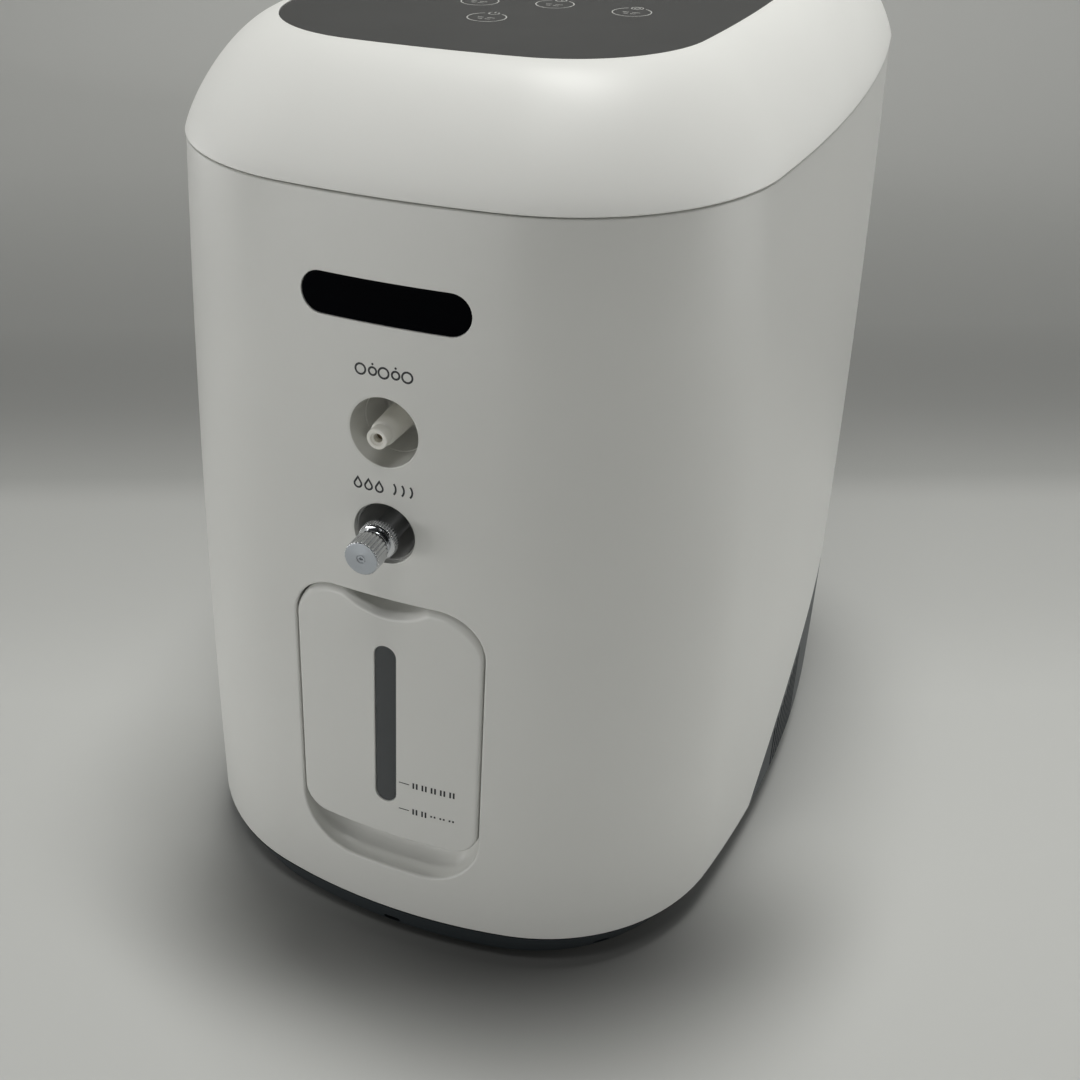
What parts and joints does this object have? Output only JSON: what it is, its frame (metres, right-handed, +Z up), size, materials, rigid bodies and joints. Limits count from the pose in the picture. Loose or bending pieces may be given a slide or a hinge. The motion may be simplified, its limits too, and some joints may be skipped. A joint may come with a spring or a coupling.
{
  "type": "oxygen concentrator",
  "caption": "Bedside oxygen concentrator with a domed white case, touch panel, oxygen and atomizer outlets and a pull-out humidifier tank in the front.",
  "frame": {"origin": "on the floor, at the centre of the overall width and depth", "axes": "+Z up, -Y towards the front with the outlets, +X to the right seen from the front"},
  "size_m": [0.2124, 0.3124, 0.2977],
  "materials": {
    "white_shell": "satin gloss moulded white",
    "white_cap": "pearl gloss moulded white",
    "dark_base": "fine matt dark blue-grey",
    "touch_glass": "semi-gloss dark panel",
    "display_black": "gloss black window",
    "smoke_window": "smoky clear",
    "port_white": "gloss off-white",
    "spigot_white": "off-white nylon",
    "chrome": "bright chrome plate",
    "tank_clear": "clear moulded",
    "seal_rubber": "silicone",
    "foot_rubber": "matt black rubber",
    "screw_steel": "zinc plated",
    "black_plastic": "matt black",
    "foam_grey": "open-cell foam",
    "sheet_steel": "galvanised sheet",
    "cast_aluminium": "as cast",
    "core_steel": "laminated steel",
    "copper": "enamelled copper",
    "piston_black": "filled cup seal",
    "bed_aluminium": "drawn tube",
    "tank_grey": "moulded grey",
    "valve_blue": "encapsulated",
    "board_green": "solder mask",
    "parts_dark": "components",
    "hose_silicone": "translucent silicone"
  },
  "bodies": {
    "housing": {"atomizer_lock_ring": "chrome", "atomizer_nozzle": "chrome", "atomizer_port_cup": "port_white", "base_screws": "screw_steel", "base_tray": "dark_base", "bearings": "screw_steel", "bed_caps": "tank_grey", "bed_shelf": "sheet_steel", "board_parts": "parts_dark", "body_shell": "white_shell", "chassis": "sheet_steel", "circuit_boards": "board_green", "compressor_base": "sheet_steel", "compressor_mounts": "foot_rubber", "crankcases": "cast_aluminium", "cylinder_heads": "cast_aluminium", "cylinders": "cast_aluminium", "display_window": "display_black", "fan_frame": "black_plastic", "filter_element": "foam_grey", "filter_tray": "black_plastic", "fuse_holder": "black_plastic", "heat_exchanger": "bed_aluminium", "hoses": "hose_silicone", "intake_silencer": "tank_grey", "key_and_display_boards": "board_green", "motor_housing": "cast_aluminium", "motor_stator": "core_steel", "motor_windings": "copper", "oxygen_nozzle": "spigot_white", "oxygen_port_cup": "port_white", "power_inlet": "black_plastic", "pressure_regulator": "screw_steel", "product_tank": "tank_grey", "rear_grip": "dark_base", "rubber_feet": "foot_rubber", "service_panel": "dark_base", "sieve_beds": "bed_aluminium", "sound_foam": "foam_grey", "switch_bezel": "black_plastic", "tank_bay": "port_white", "top_cap": "white_cap", "touch_panel": "touch_glass", "valve_coils": "valve_blue", "valve_manifold": "bed_aluminium"},
    "water_tank": {"tank_cover": "white_shell", "sight_window": "smoke_window", "tank_cup": "tank_clear", "tank_lid": "port_white", "tank_seal": "seal_rubber"},
    "cap_washer": {"atomizer_washer": "seal_rubber"},
    "screw_cap": {"atomizer_cap": "chrome"},
    "fan": {"fan_rotor": "black_plastic"},
    "crank": {"crankshaft": "screw_steel", "motor_rotor": "core_steel"},
    "piston_left": {"left_piston": "piston_black"},
    "piston_right": {"right_piston": "piston_black"},
    "filter_door": {"filter_cover": "dark_base"},
    "rocker": {"switch_rocker": "black_plastic"},
    "fuse_cap": {"fuse_cap": "black_plastic"}
  },
  "joints": [
    {"name": "tank_slide", "type": "slide", "parent": "housing", "child": "water_tank", "axis": [0, -1, 0], "range_m": [0, 0.085]},
    {"name": "cap_travel", "type": "slide", "parent": "housing", "child": "cap_washer", "axis": [0, -1, 0], "range_m": [0, 0.007]},
    {"name": "cap_turn", "type": "hinge", "parent": "cap_washer", "child": "screw_cap", "pos_m": [0, -0.15135, 0.167], "axis": [0, -1, 0], "range_deg": [0, 2520]},
    {"name": "fan_spin", "type": "hinge", "parent": "housing", "child": "fan", "pos_m": [0, 0.03485, 0.16], "axis": [0, 0, 1], "continuous": true},
    {"name": "crank_spin", "type": "hinge", "parent": "housing", "child": "crank", "pos_m": [0, 0.04685, 0.062], "axis": [1, 0, 0], "continuous": true},
    {"name": "left_piston_stroke", "type": "slide", "parent": "housing", "child": "piston_left", "axis": [0, 0, 1], "range_m": [-0.008, 0]},
    {"name": "right_piston_stroke", "type": "slide", "parent": "housing", "child": "piston_right", "axis": [0, 0, 1], "range_m": [-0.008, 0]},
    {"name": "filter_door_pull", "type": "slide", "parent": "housing", "child": "filter_door", "axis": [0, 1, 0], "range_m": [0, 0.02]},
    {"name": "rocker_tilt", "type": "hinge", "parent": "housing", "child": "rocker", "pos_m": [0.03, 0.14515, 0.039], "axis": [1, 0, 0], "range_deg": [-14, 0]},
    {"name": "fuse_cap_turn", "type": "hinge", "parent": "housing", "child": "fuse_cap", "pos_m": [0, 0.14615, 0.039], "axis": [0, 1, 0], "range_deg": [-60, 0]}
  ],
  "couplings": [
    {"joint": "cap_travel", "follows": "cap_turn", "m_per_rad": 0.00015915}
  ]
}
